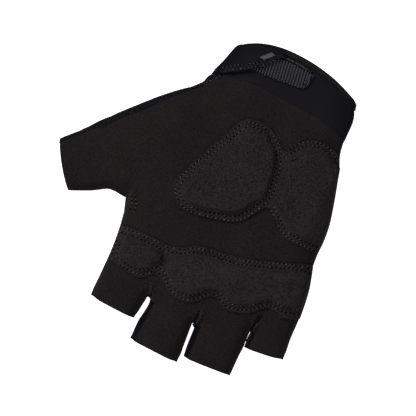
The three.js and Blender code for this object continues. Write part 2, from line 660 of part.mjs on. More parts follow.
// A pad overlay: ribs across it, with the points of each rib set where the foam's edge crosses it.
function columnAt(column, y) {
  const line = even(WEB_ROWS).map((_, row) => planPoint(row, column));
  const next = Math.max(line.findIndex((point) => point.y <= y), 1);
  const [a, b] = [line[next - 1], line[next]];
  const inset = column === 0 ? INDEX_INSET : column === COLUMNS ? -LITTLE_INSET : 0;
  return lerp(a.x, b.x, (y - a.y) / (b.y - a.y)) + inset;
}

function padPlan(ribs, channelRib, middleCells) {
  const ribAt = (rib) => (share) => {
    const point = mix(onPalm(rib.top), onPalm(rib.low), share);
    point.x += 4 * share * (1 - share) * rib.bow * PALM_WIDTH;
    if (rib.column !== undefined) point.x = columnAt(rib.column, point.y);
    return point;
  };
  const samples = even(12);
  const lines = ribs.map((rib) => samples.map(ribAt(rib)));
  const topEdge = ribs.toReversed().map((rib) => onPalm(rib.top));
  const cutEdge = topEdge.concat(ribs.map((rib) => onPalm(rib.low)));
  const firstRib = lines[0];
  const room = (point) => Math.min(
    planDistance(point, [cutEdge, firstRib]),
    planDistance(point, [lines[channelRib]]) + FLANGE - CHANNEL,
    planDistance(point, [lines.at(-1)]) + FLANGE - SIDE_MARGIN,
  );
  // The share of a rib, from one end, at which there is a given room.
  const shareWith = (at, wanted, fromLow) => {
    const place = (t) => at(fromLow ? 1 - t : t);
    for (let t = 0; t <= 0.5; t += 0.005) if (room(place(t)) >= wanted) return t;
    return null;
  };
  // Where the foam starts and is full at both ends of a rib. A rib that no foam reaches takes
  // the shares of the nearest one that some does.
  const reached = ribs.map((rib) => {
    const ends = [false, true].map((fromLow) => ({
      edge: shareWith(ribAt(rib), FLANGE, fromLow),
      full: shareWith(ribAt(rib), FLANGE + SHOULDER, fromLow),
    }));
    return ends.every((end) => end.edge !== null && end.full !== null) ? ends : null;
  });
  const nearest = (i) => {
    for (let away = 0; away < ribs.length; away++) {
      if (reached[i - away]) return reached[i - away];
      if (reached[i + away]) return reached[i + away];
    }
    throw new Error('no rib of the pad has room for foam');
  };
  return ribs.map((rib, i) => {
    const [top, low] = nearest(i);
    const middle = even(middleCells).map((t) => lerp(top.full, 1 - low.full, t));
    return [0, top.edge, ...middle, 1 - low.edge, 1].map((share) => {
      const point = ribAt(rib)(share);
      return { point, rise: THREE.MathUtils.clamp((room(point) - FLANGE) / SHOULDER, 0, 1) };
    });
  });
}

function padOverlay(rows) {
  const places = rows.flat();
  const base = places.map(({ point }) => skinAt(point.x, point.y));
  const under = places.map(({ rise }, i) => lifted(base[i], CLEAR + FOAM * rise));
  const over = places.map(({ rise }, i) => lifted(base[i], CLEAR + FOAM * rise + OVERLAY));
  return solidBetween(over, under, gridQuads(rows.length, rows[0].length));
}

// The foam of one cell: the ribs that it reaches, each without the flat margins at its ends.
function padFoam(rows, from, to) {
  const startOf = (flat, raised) => {
    const t = THREE.MathUtils.clamp((LEAST_RISE - flat.rise) / (raised.rise - flat.rise), 0.3, 0.8);
    return { point: mix(flat.point, raised.point, t), rise: lerp(flat.rise, raised.rise, t) };
  };
  const raisedRows = rows.slice(from, to + 1)
    .filter((row) => row.slice(2, -2).every(({ rise }) => rise >= LEAST_RISE))
    .map((row) => [startOf(row[1], row[2]), ...row.slice(2, -2), startOf(row.at(-2), row.at(-3))]);
  const places = raisedRows.flat();
  const base = places.map(({ point }) => skinAt(point.x, point.y));
  const under = base.map((place) => lifted(place, CLEAR));
  const over = places.map(({ rise }, i) => lifted(base[i], FOAM * rise));
  return solidBetween(over, under, gridQuads(raisedRows.length, raisedRows[0].length));
}

// The space under a rib at a share of its width.
const liftOf = (rib, share) => lerp(rib.lowLift ?? rib.lift, rib.lift, share);

// A strip laid on the cuff: lines across its width, from its low edge to its high edge.
function cuffStrip(ribs, lines, thickness, extraLift = 0, ridges = null) {
  const under = [];
  const over = [];
  for (const rib of ribs) {
    lines.forEach((share, i) => {
      const place = cuffAt(rib.column, lerp(rib.low, rib.high, share));
      const lift = liftOf(rib, share) + extraLift;
      under.push(lifted(place, lift));
      over.push(lifted(place, lift + thickness * (ridges ? ridges[i] : 1)));
    });
  }
  const quads = gridQuads(ribs.length, lines.length);
  const faces = ribs[0].column < ribs[1].column ? quads.map((q) => q.toReversed()) : quads;
  return solidBetween(over, under, faces);
}

function strapBinding() {
  const rowLength = (rib) => cuffAt(rib.column, 0).point.distanceTo(cuffAt(rib.column, 2).point) / 2;
  const ribs = STRAP_RIBS.slice(0, BINDING_RIBS).map((rib, i) => {
    const width = Math.min(STRAP_BINDING_WIDTH / rowLength(rib), (rib.low - rib.high) * 0.9);
    return { ...rib, high: rib.low - width, lift: liftOf(rib, width / (rib.low - rib.high)) };
  });
  return cuffStrip(ribs, BINDING_LINES, RIDGE, STRAP + CLEAR, BINDING_RIDGES);
}

function pullTab() {
  const corners = PULL_AT.column.map((column, i) => cuffAt(column, PULL_AT.row[i]));
  const lift = OVER_PATCH + STRAP + CLEAR;
  const under = corners.map((place) => lifted(place, lift));
  const over = corners.map((place) => lifted(place, lift + PULL));
  return solidBetween(over, under, [[3, 2, 1, 0]]);
}

// The binding folded over the wrist edge: a U section carried round the row of the edge.
function wristBinding() {
  const loop = [];
  for (let column = 0; column <= COLUMNS; column++) loop.push(vertex(0, column, 1));
  for (let column = COLUMNS - 1; column > 0; column--) loop.push(vertex(0, column, -1));
  const below = new Map();
  skin.quads.forEach(({ corners }) => corners.forEach((index, i) => {
    const next = corners[(i + 1) % 4];
    if (loop.includes(index) && !loop.includes(next)) below.set(index, next);
    if (loop.includes(next) && !loop.includes(index)) below.set(next, index);
  }));
  const outside = BINDING_CLEAR + BINDING_WALL;
  const inside = -(CUFF_WALL + BINDING_CLEAR);
  const fold = BINDING_ROOM + BINDING_WALL;
  const section = [
    [BINDING_CLEAR, -BINDING_OUTSIDE], [outside, -BINDING_OUTSIDE], [outside, fold],
    [inside - BINDING_WALL, fold], [inside - BINDING_WALL, -BINDING_INSIDE],
    [inside, -BINDING_INSIDE], [inside, BINDING_ROOM], [BINDING_CLEAR, BINDING_ROOM],
  ];
  const positions = [];
  const triangles = [];
  loop.forEach((index, i) => {
    const normal = skin.normals[index];
    const edge = skin.points[index];
    const outwards = edge.clone().sub(skin.points[below.get(index)]).normalize();
    for (const [lift, reach] of section) {
      const point = edge.clone().addScaledVector(normal, lift).addScaledVector(outwards, reach);
      positions.push(...point.toArray());
    }
    const n = section.length;
    const here = i * n;
    const next = ((i + 1) % loop.length) * n;
    for (let k = 0; k < n; k++) {
      const after = (k + 1) % n;
      triangles.push(here + k, next + k, next + after, here + k, next + after, here + after);
    }
  });
  const geometry = new THREE.BufferGeometry();
  geometry.setAttribute('position', new THREE.Float32BufferAttribute(positions, 3));
  geometry.setIndex(triangles);
  geometry.computeVertexNormals();
  return geometry;
}

// Materials.
const finish = (color, roughness) => new THREE.MeshStandardMaterial({ color, roughness, metalness: 0 });
const suede = finish('#201e1d', 0.95);
const knit = finish('#1b1a21', 0.85);
const neoprene = finish('#1a191d', 0.8);
const foam = finish('#2c2b2b', 0.9);
const loopPile = finish('#2e2d30', 0.9);
const strapCloth = finish('#17161b', 0.6);
const tape = finish('#211f21', 0.7);
const rubber = finish('#3b3b3d', 0.55);

const glove = new THREE.Group();
const add = (name, geometry, material) => {
  const mesh = new THREE.Mesh(geometry, material);
  mesh.name = name;
  glove.add(mesh);
};

add('palm_panel', clothPanel('palm', SUEDE), suede);
add('back_panel', clothPanel('back', KNIT), knit);
add('cuff', clothPanel('cuff', CUFF_WALL), neoprene);
['index_middle', 'middle_ring', 'ring_little'].forEach((between, i) => {
  add(`finger_strip_${between}`, clothPanel(`strip ${i}`, KNIT), knit);
});

const heel = padPlan(HEEL_RIBS, HEEL_CHANNEL_RIBS, 5);
add('heel_overlay', padOverlay(heel), suede);
add('heel_foam_centre', padFoam(heel, 0, HEEL_CHANNEL_RIBS), foam);
add('heel_foam_outer', padFoam(heel, HEEL_CHANNEL_RIBS, HEEL_RIBS.length - 1), foam);
const knuckles = padPlan(KNUCKLE_RIBS, KNUCKLE_CHANNEL_RIBS, 3);
add('knuckle_overlay', padOverlay(knuckles), suede);
add('knuckle_foam_index', padFoam(knuckles, 0, KNUCKLE_CHANNEL_RIBS), foam);
add('knuckle_foam_main', padFoam(knuckles, KNUCKLE_CHANNEL_RIBS, KNUCKLE_RIBS.length - 1), foam);

add('wrist_binding', wristBinding(), tape);
add('loop_patch', cuffStrip(PATCH_RIBS, STRAP_LINES, PATCH), loopPile);
add('closure_strap', cuffStrip(STRAP_RIBS, STRAP_LINES, STRAP), strapCloth);
add('strap_binding', strapBinding(), tape);
add('pull_tab', pullTab(), rubber);

// The origin is under the middle of the glove, on the surface that it lies on.
glove.updateMatrixWorld(true);
const box = new THREE.Box3().setFromObject(glove);
const centre = box.getCenter(vector(0, 0, 0));
glove.position.set(-centre.x, -centre.y, -box.min.z);

export default glove;
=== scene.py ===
"""A half-finger cycling glove for the right hand, lying palm up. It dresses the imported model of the
glove: suede palm and pads, knit back and finger gussets, smooth cuff, edge tapes, hook-and-loop closure
and stitching."""
import bpy
import json
import math
import numpy as np
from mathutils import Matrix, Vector, noise
from mathutils.bvhtree import BVHTree

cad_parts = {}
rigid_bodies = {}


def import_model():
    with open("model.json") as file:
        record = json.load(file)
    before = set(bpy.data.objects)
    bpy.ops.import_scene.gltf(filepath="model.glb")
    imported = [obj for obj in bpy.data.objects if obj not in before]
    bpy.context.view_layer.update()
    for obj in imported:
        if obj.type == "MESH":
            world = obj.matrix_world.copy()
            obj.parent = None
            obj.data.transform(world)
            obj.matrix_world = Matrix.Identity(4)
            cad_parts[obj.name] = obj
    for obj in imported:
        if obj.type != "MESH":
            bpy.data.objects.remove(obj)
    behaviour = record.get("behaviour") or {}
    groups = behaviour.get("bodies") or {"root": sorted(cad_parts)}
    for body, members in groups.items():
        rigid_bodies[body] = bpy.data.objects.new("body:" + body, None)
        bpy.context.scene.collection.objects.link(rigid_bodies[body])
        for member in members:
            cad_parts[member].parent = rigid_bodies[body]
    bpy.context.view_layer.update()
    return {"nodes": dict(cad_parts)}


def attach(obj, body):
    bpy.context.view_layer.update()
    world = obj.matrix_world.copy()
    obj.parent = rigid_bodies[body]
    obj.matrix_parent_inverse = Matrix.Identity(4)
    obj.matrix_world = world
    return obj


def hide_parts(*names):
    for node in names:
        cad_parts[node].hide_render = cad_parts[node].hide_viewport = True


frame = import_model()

# The view: straight down on the palm, turned so that the fingers point down and to the left.
# A long lens far above keeps the outline flat, as a studio picture of a flat product is.
VIEW_CENTRE = (0.0084, -0.0052, 0.018)
VIEW_WIDTH = 0.208
VIEW_HEIGHT = 1.7
VIEW_ROLL = math.radians(23)
SENSOR = 36.0
FARTHEST_SEEN = 10
for leftover in list(bpy.context.scene.objects):
    if leftover.name in ("Cube", "Light", "Camera"):
        bpy.data.objects.remove(leftover)
bpy.ops.object.camera_add(
    location=(VIEW_CENTRE[0], VIEW_CENTRE[1], VIEW_HEIGHT),
    rotation=(0, 0, VIEW_ROLL),
)
camera = bpy.context.object
camera.data.sensor_width = SENSOR
camera.data.lens = SENSOR * (VIEW_HEIGHT - VIEW_CENTRE[2]) / VIEW_WIDTH
camera.data.clip_end = FARTHEST_SEEN
bpy.context.scene.camera = camera
bpy.context.scene.view_settings.view_transform = "Standard"


# The studio: a lit white table that throws no light back up at the glove, one large soft lamp towards
# the top left of the view, a weaker one past the fingers, and a dim white surround.
FLOOR_SIDE = 6
LAMPS = (
    # name, aside and above in the view, height, the square's side, watts
    ("key_lamp", -0.65, 0.8, 1.15, 0.7, 19.0),
    ("fill_lamp", -0.15, -0.9, 1.3, 1.0, 11.5),
)
SURROUND = 0.22


def colour(text):
    """An sRGB hex colour as the linear one that the shader nodes take."""
    parts = [int(text[k:k + 2], 16) / 255 for k in (1, 3, 5)]
    return tuple(c / 12.92 if c <= 0.04045 else ((c + 0.055) / 1.055) ** 2.4 for c in parts) + (1.0,)


def add_node(tree, kind, settings=(), **links):
    """One shader node with its settings. The rest goes into its inputs, by their names or as i and their
    numbers: a value or another node's socket."""
    made = tree.nodes.new(kind)
    for key, value in dict(settings).items():
        setattr(made, key, value)
    for key, value in links.items():
        numbered = key[0] == "i" and key[1:].isdigit()
        socket = made.inputs[int(key[1:]) if numbered else key.replace("_", " ")]
        if isinstance(value, bpy.types.NodeSocket):
            tree.links.new(value, socket)
        else:
            socket.default_value = value
    return made


def material(name):
    """An empty material, its node tree and its Principled shader."""
    made = bpy.data.materials.new(name)
    made.use_nodes = True
    return made, made.node_tree, made.node_tree.nodes["Principled BSDF"]


bpy.ops.mesh.primitive_plane_add(size=FLOOR_SIDE, location=(0, 0, 0))
floor = bpy.context.object
floor.name = "studio_floor"
floor_paint, tree, shader = material("lit_white_table")
shader.inputs["Base Color"].default_value = colour("#f4f4f4")
shader.inputs["Roughness"].default_value = 0.95
shader.inputs["Emission Color"].default_value = colour("#ffffff")
shader.inputs["Emission Strength"].default_value = 1.0
floor.data.materials.append(floor_paint)
floor.visible_diffuse = False
floor.visible_glossy = False

up_in_view = Vector((-math.sin(VIEW_ROLL), math.cos(VIEW_ROLL), 0))
right_in_view = Vector((math.cos(VIEW_ROLL), math.sin(VIEW_ROLL), 0))
for lamp_name, aside, above, height, side, power in LAMPS:
    place = right_in_view * aside + up_in_view * above + Vector((0, 0, height))
    bpy.ops.object.light_add(type="AREA", location=place)
    lamp = bpy.context.object
    lamp.name = lamp_name
    lamp.data.size = side
    lamp.data.energy = power
    lamp.rotation_euler = (-place).to_track_quat("-Z", "Y").to_euler()
world = bpy.data.worlds.new("white_surround")
world.use_nodes = True
world.node_tree.nodes["Background"].inputs["Color"].default_value = colour("#ffffff")
world.node_tree.nodes["Background"].inputs["Strength"].default_value = SURROUND
bpy.context.scene.world = world

# The palm and its thumb and finger fronts: one cut of thin black synthetic suede, napped, so dull and
# slightly warm, with the faint hollows and puckers that cloth keeps where no hand fills it.
# Places on the glove are in the hand's own millimetres, and TO_ROW takes the hand to the row's frame.
MM = 0.001
TO_ROW = Vector((0.01742, -0.00514, 0))
CLOTH_EDGE = 0.35 * MM
CUT_EDGE_ANGLE = math.radians(62)
QUAD_BEND = math.radians(50)
QUAD_SKEW = math.radians(60)
MERGE = 0.01 * MM
FITS = 4
TINY = 1e-9
PUCKER = 0.35 * MM
PUCKER_SIZE = 11 * MM
HOLLOW = 0.6 * MM
HOLLOW_SIZE = 27 * MM
PALM_RIM = (11 * MM, 16 * MM)


def fit_through(piece):
    """Moves the points that a piece is subdivided from outwards, until the smooth surface passes
    through their old places, so that rounding doesn't shrink the piece."""
    count = len(piece.data.vertices)
    wanted = np.empty(count * 3)
    piece.data.vertices.foreach_get("co", wanted)
    cage = wanted.copy()
    for _ in range(FITS):
        smooth = piece.evaluated_get(bpy.context.evaluated_depsgraph_get()).data
        reached = np.empty(len(smooth.vertices) * 3)
        smooth.vertices.foreach_get("co", reached)
        cage += wanted - reached[:count * 3]
        piece.data.vertices.foreach_set("co", cage)
        piece.data.update()
        bpy.context.view_layer.update()


def cloth_copy(node_name, piece_name, levels, edge=CLOTH_EDGE):
    """A smooth copy of a soft solid: its triangles merged to quads, its cut edges eased, and its faces
    subdivided."""
    source = frame["nodes"][node_name]
    piece = bpy.data.objects.new(piece_name, source.data.copy())
    bpy.context.scene.collection.objects.link(piece)
    bpy.ops.object.select_all(action="DESELECT")
    piece.select_set(True)
    bpy.context.view_layer.objects.active = piece
    bpy.ops.mesh.customdata_custom_splitnormals_clear()
    bpy.ops.object.mode_set(mode="EDIT")
    bpy.ops.mesh.select_all(action="SELECT")
    bpy.ops.mesh.remove_doubles(threshold=MERGE)
    bpy.ops.mesh.tris_convert_to_quads(face_threshold=QUAD_BEND, shape_threshold=QUAD_SKEW)
    bpy.ops.object.mode_set(mode="OBJECT")
    if edge:
        eased = piece.modifiers.new("eased_edges", "BEVEL")
        eased.width = edge
        eased.segments = 1
        eased.limit_method = "ANGLE"
        eased.angle_limit = CUT_EDGE_ANGLE
        bpy.ops.object.modifier_apply(modifier=eased.name)
    if levels:
        rounded = piece.modifiers.new("rounded", "SUBSURF")
        rounded.levels = levels
        rounded.render_levels = levels
        fit_through(piece)
        bpy.ops.object.modifier_apply(modifier=rounded.name)
    bpy.ops.object.shade_smooth()
    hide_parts(node_name)
    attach(piece, "root")
    piece.data.materials.clear()
    return piece


def points_of(piece):
    """The piece's points and their outward directions, as arrays."""
    count = len(piece.data.vertices)
    places = np.empty(count * 3)
    normals = np.empty(count * 3)
    piece.data.vertices.foreach_get("co", places)
    piece.data.vertices.foreach_get("normal", normals)
    return places.reshape(-1, 3), normals.reshape(-1, 3)


def move_points(piece, places):
    """Puts the piece's points at these places."""
    piece.data.vertices.foreach_set("co", places.ravel())
    piece.data.update()


def smooth_step(x, low, high):
    """From 0 at low to 1 at high, level at both ends."""
    t = np.clip((x - low) / (high - low), 0, 1)
    return t * t * (3 - 2 * t)


def soft_noise(places, size, seed):
    """Smooth noise from -1 to 1 at the points, with lumps about size metres across."""
    shift = Vector((seed * 7.31, seed * 3.77, seed * 5.13))
    return np.array([noise.noise(Vector(p) / size + shift) for p in places])


def distance_to_line(xy, line, closed=False):
    """How far each point is from a line of points, all in the hand's millimetres."""
    line = np.array(line, float)
    ends = np.roll(line, -1, 0) if closed else line[1:]
    starts = line if closed else line[:-1]
    best = np.full(len(xy), math.inf)
    for a, b in zip(starts, ends):
        along = b - a
        t = np.clip(((xy - a) @ along) / max(along @ along, TINY), 0, 1)
        best = np.minimum(best, np.linalg.norm(xy - a - t[:, None] * along, axis=1))
    return best


def inside_line(xy, line):
    """Whether each point is inside a closed line."""
    line = np.array(line, float)
    inside = np.zeros(len(xy), bool)
    for a, b in zip(line, np.roll(line, -1, 0)):
        crosses = (a[1] > xy[:, 1]) != (b[1] > xy[:, 1])
        rise = b[1] - a[1] if b[1] != a[1] else TINY
        inside ^= crosses & (xy[:, 0] < (b[0] - a[0]) * (xy[:, 1] - a[1]) / rise + a[0])
    return inside


def hand_plan(places):
    """Row-frame points as the hand's own millimetres, across and along."""
    return (places[:, :2] - np.array(TO_ROW[:2])) / MM


# Where the sewn glove stands a little off the cut of its panels.
EASE = (
    # a place across and along, how far it is moved across and along, and how far round it
    (-33.6, 60.5, -1.2, 0.3, 4.5),
    (-30.4, 72.0, -0.4, 0.3, 5.0),
    (-27.2, 82.0, -0.6, 0.5, 4.0),
    (-77.0, 21.0, -0.5, 0.5, 7.0),
    (38.4, 70.5, 0.7, 0.0, 6.0),
    (37.5, 58.0, 0.4, 0.0, 7.0),
    (50.2, -3.0, 0.6, 0.0, 5.0),
    # the corners of the finger mouths, rounded by their hems
    (-45.6, -64.2, 0.5, 0.5, 3.0),
    (-20.3, -65.8, -0.3, 0.4, 3.0),
    (-19.4, -74.3, 0.4, 0.5, 3.0),
    (6.9, -76.7, -0.3, 0.4, 3.0),
    (8.6, -73.2, 0.3, 0.4, 3.0),
    (35.0, -57.8, 0.3, 0.4, 3.0),
    (54.6, -55.0, -0.5, 0.5, 3.0),
)


def ease(piece):
    """Eases a piece's points by the table, so that all the layers at a place go the same way."""
    places, _ = points_of(piece)
    plan = hand_plan(places)
    for x, y, across, along, reach in EASE:
        share = np.exp(-((plan - (x, y)) ** 2).sum(1) / reach ** 2)
        places[:, 0] += share * across * MM
        places[:, 1] += share * along * MM
    move_points(piece, places)


GRIT = 0.7 * MM
MOTTLE = 0.14


def suede(name, dark, light):
    """Synthetic suede: a napped microfibre. The nap takes the shine off, gives a soft grey bloom at
    grazing angles, and mottles a little where it is brushed. Its grit, really a tenth of a millimetre,
    is drawn at 0.7 mm so that it shows."""
    made, tree, shader = material(name)
    place = add_node(tree, "ShaderNodeTexCoord").outputs["Object"]
    brushed = add_node(tree, "ShaderNodeTexNoise", Vector=place, Scale=60.0, Detail=2.0, Roughness=0.5)
    grit = add_node(tree, "ShaderNodeTexNoise", Vector=place, Scale=1 / GRIT, Detail=2.0, Roughness=0.8)
    both = add_node(tree, "ShaderNodeMix", {"data_type": "FLOAT"}, Factor=MOTTLE, A=grit.outputs[0],
                    B=brushed.outputs[0])
    ramp = add_node(tree, "ShaderNodeValToRGB", i0=both.outputs[0])
    ramp.color_ramp.elements[0].position = 0.38
    ramp.color_ramp.elements[0].color = colour(dark)
    ramp.color_ramp.elements[1].position = 0.62
    ramp.color_ramp.elements[1].color = colour(light)
    nap = add_node(tree, "ShaderNodeBump", Height=grit.outputs[0], Strength=0.55, Distance=0.25 * MM)
    tree.links.new(ramp.outputs[0], shader.inputs["Base Color"])
    tree.links.new(nap.outputs[0], shader.inputs["Normal"])
    shader.inputs["Roughness"].default_value = 1.0
    shader.inputs["Specular IOR Level"].default_value = 0.12
    shader.inputs["Sheen Weight"].default_value = 0.06
    shader.inputs["Sheen Roughness"].default_value = 0.45
    shader.inputs["Sheen Tint"].default_value = colour("#c8bfb6")
    return made


PALM_SUEDE = suede("black_microfibre_suede", "#0e0c0c", "#1e1b1b")
palm = cloth_copy("palm_panel", "suede_palm", 2)
places, _ = points_of(palm)
ripple = soft_noise(places, PUCKER_SIZE, 3) * PUCKER + soft_noise(places, HOLLOW_SIZE, 5) * HOLLOW
places[:, 2] += ripple * smooth_step(places[:, 2], *PALM_RIM)
move_points(palm, places)
ease(palm)
palm.data.materials.append(PALM_SUEDE)


# The back of the glove, which also comes round the thumb's upper side: a fine black warp knit with a
# slight blue cast, stretchy, cool beside the warm suede, with ribs along the hand. Beside the thumb its
# edge is folded over the suede as a narrow strip.
WAVE_RADIANS = 20
ROW_SHARE = 0.8
BACK_FLAT = (1.2 * MM, 6 * MM)
BACK_PUCKER_SIZE = 14 * MM
NEEDLE_TOP = 0.08
STRIP_STEPS = 8
STRIP_LANES = 6
STRIP_ABOVE = 0.3 * MM
STRIP_SWELL = (0.12, 0.25)
STRIP_THICK = 0.5 * MM
STRIP_TURN_DOWN = (
    # how far past the edge, and how far down
    (0.21, 0.5 * MM),
    (0.3, 1.6 * MM),
)
THUMB_SIDE = (
    # across and along the hand: its seam with the suede, then the glove's outline beside it
    (-81.3, 11.2, -82.3, 11.5), (-74.3, 16.3, -76.1, 17.3), (-70, 20.3, -72.5, 21.8),
    (-66.4, 24.5, -68.9, 26.1), (-62, 28.5, -64.4, 30.6), (-58, 32.4, -60.4, 34.6),
    (-52, 39.1, -53.8, 41.1), (-47.7, 43.6, -49.1, 45.2), (-43.6, 47.8, -44.7, 48.9),
    (-39.6, 51.4, -40.3, 52.2), (-34.8, 56.5, -35.6, 57), (-31.6, 60.4, -33.8, 60.8),
    (-29.2, 62.9, -32.7, 64), (-28.3, 65.2, -31.6, 67.2),
)


def knit(name, dark, light, ribs_per_cm):
    """A fine knit in polyester yarn: rows of small loops, with a slight gleam on each yarn.
    Its ribs, really under 1 mm apart, are drawn 2 mm apart so that they show. A wave texture of scale 1
    turns WAVE_RADIANS in a metre."""
    made, tree, shader = material(name)
    place = add_node(tree, "ShaderNodeTexCoord").outputs["Object"]
    scale = 2 * math.pi * ribs_per_cm * 100 / WAVE_RADIANS
    ribs = add_node(tree, "ShaderNodeTexWave", {"bands_direction": "X"}, Vector=place, Scale=scale,
                    Distortion=0.6, Detail=1.0)
    rows = add_node(tree, "ShaderNodeTexWave", {"bands_direction": "Y"}, Vector=place,
                    Scale=scale * ROW_SHARE, Distortion=0.8, Detail=1.0)
    loops = add_node(tree, "ShaderNodeMath", {"operation": "MULTIPLY"}, i0=ribs.outputs["Fac"],
                     i1=rows.outputs["Fac"])
    ramp = add_node(tree, "ShaderNodeValToRGB", i0=loops.outputs[0])
    ramp.color_ramp.elements[0].color = colour(dark)
    ramp.color_ramp.elements[1].position = 0.8
    ramp.color_ramp.elements[1].color = colour(light)
    relief = add_node(tree, "ShaderNodeBump", Height=loops.outputs[0], Strength=0.5, Distance=0.2 * MM)
    tree.links.new(ramp.outputs[0], shader.inputs["Base Color"])
    tree.links.new(relief.outputs[0], shader.inputs["Normal"])
    shader.inputs["Roughness"].default_value = 0.75
    shader.inputs["Specular IOR Level"].default_value = 0.08
    shader.inputs["Sheen Weight"].default_value = 0.02
    shader.inputs["Sheen Tint"].default_value = colour("#aab0c4")
    return made


def surface_of(*pieces):
    """What a needle meets from above: the pieces' faces as one search tree."""
    corners = []
    faces = []
    for piece in pieces:
        start = len(corners)
        corners += [v.co.copy() for v in piece.data.vertices]
        faces += [tuple(start + k for k in f.vertices) for f in piece.data.polygons]
    return BVHTree.FromPolygons(corners, faces)


def met_from_above(surface, at):
    """The place on a surface under a place on the hand, and its outward direction, or None twice."""
    needle = Vector((at[0] * MM, at[1] * MM, NEEDLE_TOP)) + TO_ROW
    return surface.ray_cast(needle, Vector((0, 0, -1)))[:2]


def laid_strip(name, line, surface):
    """A narrow strip of cloth laid over an edge: its inner side lies along the line's first places, and
    its outer side is turned down past the second ones."""
    rows = []
    for (ax, ay, bx, by), (cx, cy, dx, dy) in zip(line, line[1:]):
        for k in range(STRIP_STEPS):
            t = k / STRIP_STEPS
            inner = Vector((ax + (cx - ax) * t, ay + (cy - ay) * t))
            outer = Vector((bx + (dx - bx) * t, by + (dy - by) * t))
            rows.append((inner, outer))
    corners = []
    last_known = 0
    for inner, outer in rows:
        height = None
        lanes = []
        for j in range(STRIP_LANES + 1):
            at = inner.lerp(outer, j / STRIP_LANES)
            met = met_from_above(surface, at)[0]
            height = met.z if met else height
            lanes.append((at, height))
        last_known = next((z for _, z in lanes if z is not None), last_known)
        begin, turn = STRIP_SWELL
        for j, (at, z) in enumerate(lanes):
            z = last_known if z is None else z
            swell = STRIP_ABOVE * math.sin(math.pi * min(j / STRIP_LANES + begin, 1) * 0.5 + turn)
            corners.append(Vector((at.x * MM, at.y * MM, z + swell)) + TO_ROW)
        z = last_known if lanes[-1][1] is None else lanes[-1][1]
        for past, down in STRIP_TURN_DOWN:
            at = outer + (outer - inner).normalized() * past
            corners.append(Vector((at.x * MM, at.y * MM, z - down)) + TO_ROW)
    wide = STRIP_LANES + 1 + len(STRIP_TURN_DOWN)
    faces = []
    for i in range(len(rows) - 1):
        for j in range(wide - 1):
            here = i * wide + j
            faces.append((here, here + 1, here + wide + 1, here + wide))
    mesh = bpy.data.meshes.new(name)
    mesh.from_pydata(corners, [], faces)
    strip = bpy.data.objects.new(name, mesh)
    bpy.context.scene.collection.objects.link(strip)
    bpy.ops.object.select_all(action="DESELECT")
    strip.select_set(True)
    bpy.context.view_layer.objects.active = strip
    thick = strip.modifiers.new("cloth", "SOLIDIFY")
    thick.thickness = STRIP_THICK
    thick.offset = 0
    bpy.ops.object.modifier_apply(modifier=thick.name)
    bpy.ops.object.mode_set(mode="EDIT")
    bpy.ops.mesh.select_all(action="SELECT")
    bpy.ops.mesh.normals_make_consistent(inside=False)
    bpy.ops.object.mode_set(mode="OBJECT")
    bpy.ops.object.shade_smooth_by_angle(angle=math.radians(50))
    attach(strip, "root")
    return strip


BACK_KNIT = knit("black_warp_knit", "#08080d", "#12121b", 4.5)
back = cloth_copy("back_panel", "knit_back", 2)
places, normals = points_of(back)
clear_of_floor = smooth_step(places[:, 2], *BACK_FLAT)
places += normals * (soft_noise(places, BACK_PUCKER_SIZE, 11) * PUCKER * clear_of_floor)[:, None]
move_points(back, places)
ease(back)
back.data.materials.append(BACK_KNIT)
thumb_side = laid_strip("thumb_side_knit", THUMB_SIDE, surface_of(palm, back))
thumb_side.data.materials.append(BACK_KNIT)

# The gussets between the fingers: narrow strips of a like knit, a little bluer, sewn between the
# suede fronts and the knit back so that the fingers can spread. The knit is coloured darker than the
# back's as painted shade for the deep slits between the fingers.
# About half as bright as the back knit: painted shade for the slits.
GUSSET_KNIT_PAINTED_SHADE = knit("blue_black_gusset_knit_painted_shade", "#040407", "#0a0a10", 5)
GUSSETS = (
    # which fingers it is between, its length, and half of its skin
    ("index_middle", 0.048, 0.00057),
    ("middle_ring", 0.048, 0.00056),
    ("ring_little", 0.044, 0.00047),
)
gussets = []
for between, length, half_skin in GUSSETS:
    gusset = cloth_copy("finger_strip_" + between, "gusset_" + between, 2)
    gusset.data.materials.append(GUSSET_KNIT_PAINTED_SHADE)
    ease(gusset)
    gussets.append(gusset)


# The cuff: a band of smooth, dense stretch fabric round the wrist, cooler and cleaner than the suede,
# lying with shallow waves where the wrist would hold it open.
def stretch_fabric(name, dark, light):
    """A dense, smooth stretch weave: small threads, a soft cloud of wear, next to no gleam."""
    made, tree, shader = material(name)
    place = add_node(tree, "ShaderNodeTexCoord").outputs["Object"]
    weave = add_node(tree, "ShaderNodeTexNoise", Vector=place, Scale=1900.0, Detail=2.0)
    cloud = add_node(tree, "ShaderNodeTexNoise", Vector=place, Scale=60.0, Detail=2.0)
    mixed = add_node(tree, "ShaderNodeMath", {"operation": "MULTIPLY_ADD"}, i0=weave.outputs[0], i1=0.5,
                     i2=cloud.outputs[0])
    ramp = add_node(tree, "ShaderNodeValToRGB", i0=mixed.outputs[0])
    ramp.color_ramp.elements[0].position = 0.5
    ramp.color_ramp.elements[0].color = colour(dark)
    ramp.color_ramp.elements[1].position = 1.0
    ramp.color_ramp.elements[1].color = colour(light)
    relief = add_node(tree, "ShaderNodeBump", Height=weave.outputs[0], Strength=0.25, Distance=0.1 * MM)
    tree.links.new(ramp.outputs[0], shader.inputs["Base Color"])
    tree.links.new(relief.outputs[0], shader.inputs["Normal"])
    shader.inputs["Roughness"].default_value = 0.7
    shader.inputs["Specular IOR Level"].default_value = 0.08
    shader.inputs["Sheen Weight"].default_value = 0.015
    shader.inputs["Sheen Tint"].default_value = colour("#b0b0c0")
    return made


CUFF_FABRIC = stretch_fabric("smooth_stretch_cuff_fabric", "#0a0a0c", "#110f14")
cuff = cloth_copy("cuff", "wrist_cuff", 2)
ease(cuff)
cuff.data.materials.append(CUFF_FABRIC)


